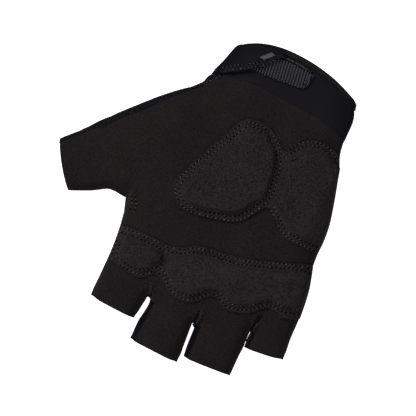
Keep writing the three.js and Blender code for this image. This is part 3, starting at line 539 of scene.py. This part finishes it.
# The foam pads: four pieces of 3 mm closed-cell foam, die cut to the shape of their cells and hidden
# between the palm and its suede overlays.
def closed_cell_foam():
    """Grey closed-cell foam, dull, with fine cells."""
    made, tree, shader = material("grey_closed_cell_foam")
    place = add_node(tree, "ShaderNodeTexCoord").outputs["Object"]
    cells = add_node(tree, "ShaderNodeTexVoronoi", Vector=place, Scale=900.0)
    ramp = add_node(tree, "ShaderNodeValToRGB", i0=cells.outputs[0])
    ramp.color_ramp.elements[0].color = colour("#2c2c2e")
    ramp.color_ramp.elements[1].color = colour("#3c3c3e")
    pores = add_node(tree, "ShaderNodeBump", Height=cells.outputs[0], Strength=0.4, Distance=0.2 * MM)
    tree.links.new(ramp.outputs[0], shader.inputs["Base Color"])
    tree.links.new(pores.outputs[0], shader.inputs["Normal"])
    shader.inputs["Roughness"].default_value = 0.9
    return made


FOAM = closed_cell_foam()
for foam_node in ("heel_foam_centre", "heel_foam_outer", "knuckle_foam_index", "knuckle_foam_main"):
    foam = cloth_copy(foam_node, foam_node.replace("foam", "foam_pad"), 1, edge=0.2 * MM)
    foam.data.materials.append(FOAM)

# The heel pad: a suede overlay on the heel of the palm, closed round two foam cells by twin rows of
# stitching that share a channel between the cells. The suede crowns over each cell.
CORNER_CUTS = 2
TWIN = 1.05
ROW_DEPTH = 0.42 * MM
ROW_WIDTH = 0.6
PAD_SHOULDER = 1.6
SHOULDER_OUT = 0.75
PAD_REACH = 3.6
PAD_SIDES = (41.5, 46.0)
PAD_OUTSIDE = (0.15, 0.5)
ON_THE_EDGE = 1e-6
CROWN = 0.75 * MM
CROWN_RUN = 8.0
MARGIN = 1.6
MARGIN_SQUEEZE = 0.35
MARGIN_SIDE = 44.0
PAD_SUEDE = suede("black_suede_pad_overlay", "#0c0b0b", "#292627")
HEEL_CENTRE_SEAM = (
    (-7.9, 45.6), (-10.8, 40.4), (-14.8, 32.5), (-18.8, 25), (-22.4, 17.6), (-25.6, 11.2), (-27.1, 7),
    (-26.9, 3), (-24.6, -0.8), (-20.5, -3.6), (-15.5, -3.9), (-8.5, -3), (-1.5, -1.7), (4.5, -0.2),
    (8, 2.2), (11, 5.7), (13.5, 10), (15.8, 14.5), (16.8, 19), (16.5, 24.5), (15.5, 30), (14.4, 35),
    (13, 38.5), (10.3, 42), (7, 44.4), (3.5, 46), (0, 46.8), (-4.2, 46.9),
)
HEEL_OUTER_TOP_SEAM = (
    (15, 37), (16.8, 40.5), (18.6, 43.2), (20.8, 46.2), (23.5, 48.4), (27, 50), (31.5, 50.3), (35.5, 49.6),
    (38, 48), (40.4, 45.5),
)
HEEL_OUTER_LOW_SEAM = (
    (16.8, 16), (19, 13.8), (21.8, 11.2), (25.4, 8), (28.8, 4.9), (32.6, 2.9), (38.5, 2.3), (44, 2.3),
    (50, 2.4),
)
HEEL_CELLS = (
    ((-7, 44.6), (3, 44.8), (10, 39), (13.3, 31), (14.4, 20), (11.3, 13), (6.5, 5.6), (2, 2.4), (-8, -0.2),
     (-18, -1.2), (-23, 1.5), (-24.6, 5.5), (-20.5, 18), (-13, 33)),
    ((18, 36), (21.5, 43), (27, 47.2), (34, 47.2), (39, 43), (48, 30), (52, 10), (45, 5), (36, 5), (30, 7.2),
     (24, 12), (19.6, 16), (18.2, 24)),
)


def chased(line, closed=False):
    """The line with its corners cut twice, as a sewing machine rounds them."""
    points = [Vector((x, y)) for x, y in line]
    for _ in range(CORNER_CUTS):
        cut = [] if closed else [points[0]]
        pairs = zip(points, points[1:] + points[:1]) if closed else zip(points, points[1:])
        for a, b in pairs:
            cut += [a * 0.75 + b * 0.25, a * 0.25 + b * 0.75]
        points = cut + ([] if closed else [points[-1]])
    return points


def beside(line, offset, closed=False):
    """The line moved sideways by offset, to the left of its run."""
    points = chased(line, closed)
    count = len(points)
    moved = []
    for k, here in enumerate(points):
        before = points[k - 1] if closed or k else here
        after = points[(k + 1) % count] if closed or k < count - 1 else here
        run = (after - before).normalized()
        moved.append(here + Vector((-run.y, run.x)) * offset)
    return moved


def twin_rows(line, closed=False):
    """Two rows of stitches, one on each side of a seam line."""
    return [(beside(line, side * TWIN, closed), closed) for side in (-1, 1)]


def nearest_on(line, here, closed=True):
    """The nearest place to here on a line."""
    best, found = math.inf, None
    for a, b in zip(line, line[1:] + (line[:1] if closed else [])):
        t = min(max((here - a).dot(b - a) / max((b - a).length_squared, TINY), 0), 1)
        place = a + (b - a) * t
        if (here - place).length < best:
            best, found = (here - place).length, place
    return found


def trim_margin(piece, seams, cells):
    """Trims an overlay's flat margin outside its seams, and lays what moves back down on the palm."""
    places, _ = points_of(piece)
    plan = hand_plan(places)
    within = np.zeros(len(plan), bool)
    for cell in cells:
        within |= inside_line(plan, cell)
    under = surface_of(palm)
    for k in np.nonzero(~within & (plan[:, 0] < MARGIN_SIDE))[0]:
        here = Vector(plan[k])
        edges = [nearest_on(line, here, closed) for line, closed in seams]
        edge = min(edges, key=lambda at: (here - at).length)
        away = (here - edge).length
        if away <= MARGIN:
            continue
        there = edge + (here - edge) * ((MARGIN + (away - MARGIN) * MARGIN_SQUEEZE) / away)
        before = met_from_above(under, here)[0]
        after = met_from_above(under, there)[0]
        places[k, 0] += (there.x - here.x) * MM
        places[k, 1] += (there.y - here.y) * MM
        if before and after:
            places[k, 2] += after.z - before.z
    move_points(piece, places)


def sew_down(piece, rows, cells):
    """Presses the stitch rows into an overlay's outer side, and fills its cells out to steep shoulders."""
    places, normals = points_of(piece)
    outer = smooth_step(normals[:, 2], *PAD_OUTSIDE)
    plan = hand_plan(places)
    near = np.full(len(plan), math.inf)
    for row, closed in rows:
        near = np.minimum(near, distance_to_line(plan, row, closed))
    depth = -ROW_DEPTH * np.exp(-(near / ROW_WIDTH) ** 2)
    before = surface_of(piece)
    rise = np.zeros(len(plan))
    for cell in cells:
        line = [Vector(corner) for corner in cell]
        inward = np.where(inside_line(plan, cell), 1, -1) * distance_to_line(plan, cell, True) + SHOULDER_OUT
        crown = np.sin(np.clip(inward / CROWN_RUN, 0, 1) * math.pi / 2) * CROWN
        rise = np.maximum(rise, np.where(inward > 0, crown, 0))
        for k in np.nonzero((inward > 0) & (inward < PAD_REACH) & (outer > 0))[0]:
            here = Vector(plan[k])
            edge = nearest_on(line, here)
            out = (here - edge) * (1 if inward[k] > SHOULDER_OUT else -1)
            if out.length < ON_THE_EDGE:
                continue
            out.normalize()
            low = met_from_above(before, edge - out * SHOULDER_OUT)[0]
            top = met_from_above(before, edge + out * (PAD_REACH - SHOULDER_OUT))[0]
            if low and top:
                share = math.sin(min(inward[k] / PAD_SHOULDER, 1) * math.pi / 2)
                wanted = low.z + (top.z - low.z) * share + crown[k]
                rise[k] = max(rise[k], wanted - places[k, 2])
    round_side = smooth_step(np.abs(plan[:, 0]), *PAD_SIDES)
    places[:, 2] += (depth + rise * (1 - round_side)) * outer
    move_points(piece, places)


heel_rows = (
    twin_rows(HEEL_CENTRE_SEAM, True) + twin_rows(HEEL_OUTER_TOP_SEAM) + twin_rows(HEEL_OUTER_LOW_SEAM)
)
heel = cloth_copy("heel_overlay", "heel_pad", 3, edge=0.25 * MM)
trim_margin(heel, [(chased(HEEL_CENTRE_SEAM, True), True), (chased(HEEL_OUTER_TOP_SEAM), False),
                   (chased(HEEL_OUTER_LOW_SEAM), False)], HEEL_CELLS)
sew_down(heel, heel_rows, HEEL_CELLS)
heel.data.materials.append(PAD_SUEDE)

# The knuckle pad: a long overlay across the roots of the fingers, with a small cell under the index
# finger and a large scalloped one under the other three.
KNUCKLE_TOP_SEAM = (
    (-45, -27), (-40, -26.4), (-30, -26.4), (-20, -27), (-12, -25), (-8, -22.3), (0, -20.4), (10, -19.8),
    (20, -17.8), (30, -14.3), (40, -11), (46, -9.4), (51, -9.2),
)
KNUCKLE_LOW_SEAM = (
    (-45, -40.6), (-42, -41.4), (-37, -42.4), (-30, -43.4), (-26, -42.2), (-22.4, -38.8), (-18, -38.2),
    (-14, -40.4), (-10, -44), (-5, -45.6), (0, -45), (4, -42), (7.4, -38), (12, -37), (17, -40),
    (20, -40.8), (28, -39), (33, -35), (36.6, -31.6), (42, -31.4), (46, -32.2), (53, -30),
)
KNUCKLE_SIDE_SEAM = ((-43.2, -28), (-43.4, -32), (-43.4, -36), (-43, -40))
KNUCKLE_CHANNEL = ((-16.6, -28), (-17.2, -31), (-17.8, -34), (-18, -37))
KNUCKLE_CELLS = (
    ((-40, -29.5), (-21, -29.8), (-20.6, -33), (-23.5, -36.6), (-28.5, -39.6), (-36.5, -39.2), (-40.2, -37)),
    ((-13.6, -29.5), (-5, -24), (10, -22.6), (30, -17.6), (50, -11.5), (53, -27), (46, -28.6), (37.6, -27.6),
     (32.6, -30.6), (27.8, -35), (18, -36.6), (12, -33.4), (6, -36), (0, -41), (-6, -41.6), (-12.8, -37)),
)
knuckle_rows = (
    twin_rows(KNUCKLE_TOP_SEAM) + twin_rows(KNUCKLE_LOW_SEAM) + twin_rows(KNUCKLE_SIDE_SEAM)
    + twin_rows(KNUCKLE_CHANNEL)
)
knuckle = cloth_copy("knuckle_overlay", "knuckle_pad", 3, edge=0.25 * MM)
trim_margin(knuckle, [(chased(KNUCKLE_TOP_SEAM), False), (chased(KNUCKLE_LOW_SEAM), False),
                      (chased(KNUCKLE_SIDE_SEAM), False)], KNUCKLE_CELLS)
sew_down(knuckle, knuckle_rows, KNUCKLE_CELLS)
knuckle.data.materials.append(PAD_SUEDE)

# The pads' stitching: bonded black polyester thread in twin rows, each stitch pulled down into the
# suede at both ends. Each stitch is a short bar drawn grey, as painted gleam, between two near-black
# discs that are painted shade for the needle holes.
THREAD = 0.62 * MM
THREAD_FLAT = 0.8
THREAD_LIFT = 0.12 * MM
STITCH = 1.45 * MM
STITCH_DIP = 0.16 * MM
PITCH = 2.1
SLANT = math.radians(24)
HOLE = 0.74 * MM
HOLE_NARROW = 0.72
HOLE_LIFT = 0.05 * MM


def one_shape(width, depth, height):
    """The points and faces of the primitive just added, resized, which is then removed."""
    bpy.ops.object.mode_set(mode="EDIT")
    bpy.ops.mesh.select_all(action="SELECT")
    bpy.ops.transform.resize(value=(width, depth, height))
    bpy.ops.object.mode_set(mode="OBJECT")
    added = bpy.context.object
    points = np.array([v.co for v in added.data.vertices])
    faces = [tuple(f.vertices) for f in added.data.polygons]
    bpy.data.objects.remove(added)
    return points, faces


bpy.ops.object.select_all(action="DESELECT")
bpy.ops.mesh.primitive_uv_sphere_add(segments=8, ring_count=6, radius=THREAD / 2, location=(0, 0, 0))
stitch_points, stitch_faces = one_shape(STITCH / THREAD, 1, THREAD_FLAT)
stitch_points[:, 2] -= STITCH_DIP * (2 * stitch_points[:, 0] / STITCH) ** 2
# The needle holes are flat discs laid just over the cloth and coloured near-black: painted shade.
bpy.ops.mesh.primitive_circle_add(vertices=8, radius=HOLE, fill_type="TRIFAN", location=(0, 0, 0))
hole_points, hole_faces = one_shape(1, HOLE_NARROW, 1)


def thread_material(name, light):
    """Bonded polyester thread: smooth, with a slight gleam. The ramp's light end is the thread's light tone;
    on black thread it is painted gleam, so that a black stitch reads grey on suede.
    """
    made, tree, shader = material(name)
    place = add_node(tree, "ShaderNodeTexCoord").outputs["Object"]
    twist = add_node(tree, "ShaderNodeTexNoise", Vector=place, Scale=700.0, Detail=1.0)
    ramp = add_node(tree, "ShaderNodeValToRGB", i0=twist.outputs[0])
    ramp.color_ramp.elements[0].position = 0.35
    ramp.color_ramp.elements[0].color = colour("#1c1b1b")
    ramp.color_ramp.elements[1].position = 0.65
    ramp.color_ramp.elements[1].color = colour(light)
    tree.links.new(ramp.outputs[0], shader.inputs["Base Color"])
    shader.inputs["Roughness"].default_value = 0.55
    shader.inputs["Specular IOR Level"].default_value = 0.16
    return made


def painted_needle_hole_shade():
    """Painted shade for a needle hole: a near-black colour with no shine, put on a flat disc laid on the
    cloth.
    """
    made, tree, shader = material("painted_needle_hole_shade")
    place = add_node(tree, "ShaderNodeTexCoord").outputs["Object"]
    depth = add_node(tree, "ShaderNodeTexNoise", Vector=place, Scale=900.0)
    ramp = add_node(tree, "ShaderNodeValToRGB", i0=depth.outputs[0])
    ramp.color_ramp.elements[0].color = colour("#050505")
    ramp.color_ramp.elements[1].color = colour("#0b0a0a")
    tree.links.new(ramp.outputs[0], shader.inputs["Base Color"])
    shader.inputs["Roughness"].default_value = 1.0
    shader.inputs["Specular IOR Level"].default_value = 0.0
    return made


# Black thread given a grey light end: painted gleam.
BLACK_THREAD_PAINTED_GLEAM = thread_material("bonded_black_thread_painted_gleam", "#434142")
PAINTED_HOLE_SHADE = painted_needle_hole_shade()


def spaced(line, closed, pitch, start):
    """Places along a line, pitch apart, each with its direction."""
    points = line + ([line[0]] if closed else [])
    travelled = start
    along = 0.0
    for a, b in zip(points, points[1:]):
        length = (b - a).length
        while travelled <= along + length and length > 0:
            yield a + (b - a) * ((travelled - along) / length), (b - a) / length
            travelled += pitch
        along += length


def stitch_along(name, rows, surface, pitch=PITCH, slant=SLANT, thread=BLACK_THREAD_PAINTED_GLEAM, size=1.0):
    """Sews rows of stitches on a surface as one piece, with a near-black disc of painted needle-hole shade
    between each two.
    """
    corners = []
    faces = []
    kinds = []
    for number, (row, closed) in enumerate(rows):
        for kind, points, shape, begin, turn, lift in (
            (0, stitch_points * size, stitch_faces, 0.0, slant, THREAD_LIFT),
            (1, hole_points * size, hole_faces, pitch / 2, 0.0, HOLE_LIFT),
        ):
            for at, run in spaced(row, closed, pitch, begin + number * pitch / 2):
                place, normal = met_from_above(surface, at)
                if place is None:
                    continue
                ahead = Vector((run.x * math.cos(turn) - run.y * math.sin(turn),
                                run.x * math.sin(turn) + run.y * math.cos(turn), 0))
                ahead = (ahead - normal * ahead.dot(normal)).normalized()
                axes = np.array([ahead, normal.cross(ahead), normal])
                start = len(corners)
                corners += [tuple(p) for p in points @ axes + np.array(place + normal * lift)]
                faces += [tuple(start + k for k in f) for f in shape]
                kinds += [kind] * len(shape)
    mesh = bpy.data.meshes.new(name)
    mesh.from_pydata(corners, [], faces)
    mesh.materials.append(thread)
    mesh.materials.append(PAINTED_HOLE_SHADE)
    mesh.polygons.foreach_set("material_index", kinds)
    mesh.polygons.foreach_set("use_smooth", [True] * len(faces))
    mesh.update()
    sewn = bpy.data.objects.new(name, mesh)
    bpy.context.scene.collection.objects.link(sewn)
    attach(sewn, "root")
    return sewn


heel_stitches = stitch_along("heel_pad_stitching", heel_rows, surface_of(heel, palm))
knuckle_stitches = stitch_along("knuckle_pad_stitching", knuckle_rows, surface_of(knuckle, palm))

# The finger slits' whipping: heavy navy thread over the raw end of each slit, where two fronts and a
# gusset meet. Its stitches are drawn two and a half times the pads' size, so that their near-black hole
# discs overlap into a dark patch at each slit top: painted shade.
THREAD_NAVY = thread_material("heavy_navy_thread", "#100e1a")
SLITS = (
    ((-19.9, -46), (-19.2, -50), (-18.2, -55)),
    ((8.9, -48.4), (8.5, -52.5), (7.9, -57.5)),
    ((37, -38.8), (36.4, -43), (35.6, -49.5), (35.2, -54)),
)
slit_lines = [(chased(line), False) for line in SLITS]
# size=2.5 widens the near-black hole discs into the patch of painted shade.
slit_stitching_with_painted_shade = stitch_along("finger_slit_stitching_and_painted_shade", slit_lines, surface_of(palm, *gussets), pitch=1.25,
                             slant=math.radians(70), thread=THREAD_NAVY, size=2.5)

# The thumb crotch's reinforcement: a short double arc of the pads' thread on the palm, where the thumb
# meets the index finger and the suede is pulled hardest.
CROTCH_SEAM = ((-46.5, -8.5), (-44.6, -10.5), (-43.4, -13), (-43.2, -16.5))
crotch = stitch_along("thumb_crotch_stitching", twin_rows(CROTCH_SEAM), surface_of(palm))

# The loop patch of the closure: a rectangle of ribbed loop fabric sewn on the cuff by an overlocked
# edge. Its ribs run up the cuff, and each rib is a row of small standing loops.
RIB = 1.45 * MM
LOOP = 1.15 * MM
PILE = 0.45 * MM
RIB_SHARE = 0.55
RIB_TURN = 0.1
PATCH_OUTSIDE = (0.4, 0.7)
PATCH_LOW = 73.5
PATCH_HIGH = 85.0
PATCH_DOWN = 1.5
PATCH_EASE = (
    # a place across and along, how far it is moved across and along, and how far round it
    (8.6, 75.2, 2.2, -0.4, 3.2),
    (12.6, 82.5, 0.6, 0.4, 2.5),
)
PATCH_EDGE = ((-6, 83.6), (-1, 83.7), (5, 83.4), (12.2, 82.3), (11.9, 79), (10.9, 75.6))


def loop_pile():
    """Ribbed loop pile in nylon, with little shine. Its colour follows the pile's height: near-black between
    the loops and grey on top of them, which is painted shade and painted light.
    """
    made, tree, shader = material("ribbed_loop_pile_painted_shade")
    height = add_node(tree, "ShaderNodeAttribute", {"attribute_name": "pile_height_and_painted_shade"})
    ramp = add_node(tree, "ShaderNodeValToRGB", i0=height.outputs["Fac"])
    ramp.color_ramp.elements[0].position = 0.4
    ramp.color_ramp.elements[0].color = colour("#040405")
    ramp.color_ramp.elements[1].position = 0.8
    ramp.color_ramp.elements[1].color = colour("#3a3a3f")
    tree.links.new(ramp.outputs[0], shader.inputs["Base Color"])
    shader.inputs["Roughness"].default_value = 0.6
    shader.inputs["Specular IOR Level"].default_value = 0.12
    return made


patch = cloth_copy("loop_patch", "closure_loop_patch", 4, edge=0.2 * MM)
places, normals = points_of(patch)
plan = hand_plan(places)
up_patch = np.clip((plan[:, 1] - PATCH_LOW) / (PATCH_HIGH - PATCH_LOW), 0, 1)
places[:, 1] -= up_patch * PATCH_DOWN * MM
for x, y, by_across, by_along, reach in PATCH_EASE:
    share = np.exp(-((plan - (x, y)) ** 2).sum(1) / reach ** 2)
    places[:, 0] += share * by_across * MM
    places[:, 1] += share * by_along * MM
across = places[:, 0] * math.cos(RIB_TURN) + places[:, 1] * math.sin(RIB_TURN)
along = places[:, 1] * math.cos(RIB_TURN) - places[:, 0] * math.sin(RIB_TURN)
rib = np.abs(np.sin(math.pi * across / RIB))
loops = 0.5 + 0.5 * np.sin(2 * math.pi * (along / LOOP + 0.5 * np.floor(across / RIB)))
pile_height_and_painted_shade = rib * (RIB_SHARE + (1 - RIB_SHARE) * loops) * smooth_step(normals[:, 2], *PATCH_OUTSIDE)
places += normals * (PILE * pile_height_and_painted_shade)[:, None]
move_points(patch, places)
# The pile's height is kept on the points, where the material turns it into painted shade low and painted
# light high.
patch.data.attributes.new("pile_height_and_painted_shade", "FLOAT", "POINT").data.foreach_set("value", pile_height_and_painted_shade)
patch.data.materials.append(loop_pile())
THREAD_GREY = thread_material("grey_overlock_thread", "#4a4a4e")
patch_line = ([Vector(corner) for corner in PATCH_EDGE], False)
overlock = stitch_along("loop_patch_stitching", [patch_line], surface_of(patch, cuff), pitch=0.85,
                        slant=math.radians(62), thread=THREAD_GREY, size=1.1)

# The closure strap: a tapered tab of doubled stretch fabric that comes round from the back of the
# wrist and closes over the loop patch. It is plain, and a little darker than the cuff.
strap = cloth_copy("closure_strap", "closure_tab", 2)
strap.data.materials.append(stretch_fabric("smooth_stretch_tab_fabric", "#060608", "#0b0a0d"))


# The edge tapes: narrow woven polyester tape folded over the wrist opening and over the tab's lower
# edge. The wrist's has a faint warm cast, and the tab's a cool one and two rows of stitches.
STRAP_SEAM = ((-29.5, 67.6), (-25.2, 70), (-19.9, 72.9), (-14.2, 76.2), (-11, 78.9), (-8.6, 82.2))
TAPE_TWIN = 1.9
TAPE_END = (-31, 66.5)
TAPE_END_REACH = 3.5
TAPE_END_IN = 1.1 * MM
TAPE_END_DOWN = 0.4 * MM


def woven_tape(name, dark, light):
    """Polyester tape: dull, with the fine grain of a tight weave."""
    made, tree, shader = material(name)
    place = add_node(tree, "ShaderNodeTexCoord").outputs["Object"]
    weave = add_node(tree, "ShaderNodeTexNoise", Vector=place, Scale=1400.0, Detail=2.0)
    ramp = add_node(tree, "ShaderNodeValToRGB", i0=weave.outputs[0])
    ramp.color_ramp.elements[0].position = 0.35
    ramp.color_ramp.elements[0].color = colour(dark)
    ramp.color_ramp.elements[1].position = 0.65
    ramp.color_ramp.elements[1].color = colour(light)
    relief = add_node(tree, "ShaderNodeBump", Height=weave.outputs[0], Strength=0.4, Distance=0.15 * MM)
    tree.links.new(ramp.outputs[0], shader.inputs["Base Color"])
    tree.links.new(relief.outputs[0], shader.inputs["Normal"])
    shader.inputs["Roughness"].default_value = 0.8
    shader.inputs["Specular IOR Level"].default_value = 0.1
    return made


WRIST_TAPE = woven_tape("warm_black_edge_tape", "#0c0a0a", "#1b1617")
wrist_tape = cloth_copy("wrist_binding", "wrist_edge_tape", 1, edge=0.12 * MM)
wrist_tape.data.materials.append(WRIST_TAPE)
STRAP_TAPE = woven_tape("cool_black_edge_tape", "#0b0b0d", "#201f23")
strap_tape = cloth_copy("strap_binding", "closure_edge_tape", 2, edge=0.12 * MM)
places, _ = points_of(strap_tape)
near_end = np.exp(-((hand_plan(places) - TAPE_END) ** 2).sum(1) / TAPE_END_REACH ** 2)
places[:, 0] += near_end * TAPE_END_IN
places[:, 2] -= near_end * TAPE_END_DOWN
move_points(strap_tape, places)
strap_tape.data.materials.append(STRAP_TAPE)
strap_rows = [(chased(STRAP_SEAM), False), (beside(chased(STRAP_SEAM), -TAPE_TWIN), False)]
strap_stitches = stitch_along("closure_tab_stitching", strap_rows, surface_of(strap, strap_tape), pitch=1.9,
                              slant=0.0, thread=THREAD_GREY, size=0.85)

# The thumb side's row: one straight row of grey thread along the folded strip of knit, from the suede's
# upper corner to the closure.
CORNER_SEAM = ((-35, 56.4), (-33.2, 58.6), (-31, 61), (-28.4, 63.6))
corner_stitches = stitch_along("thumb_side_stitching", [(chased(CORNER_SEAM), False)],
                               surface_of(palm, thumb_side, cuff), pitch=1.7, slant=0.0, thread=THREAD_GREY)


# The pull label: a small moulded rubber label, mid grey, stitched flat to the end of the tab. Its long
# edges are crisp, as they come out of the mould.
def moulded_rubber():
    """Moulded rubber: even and dull, with the finest grain."""
    made, tree, shader = material("grey_moulded_rubber")
    place = add_node(tree, "ShaderNodeTexCoord").outputs["Object"]
    grain = add_node(tree, "ShaderNodeTexNoise", Vector=place, Scale=800.0)
    ramp = add_node(tree, "ShaderNodeValToRGB", i0=grain.outputs[0])
    ramp.color_ramp.elements[0].color = colour("#2a2a2c")
    ramp.color_ramp.elements[1].color = colour("#343437")
    tree.links.new(ramp.outputs[0], shader.inputs["Base Color"])
    shader.inputs["Roughness"].default_value = 0.5
    return made


label = cloth_copy("pull_tab", "pull_label", 0, edge=0.35 * MM)
bpy.ops.object.shade_smooth_by_angle(angle=math.radians(40))
label.data.materials.append(moulded_rubber())
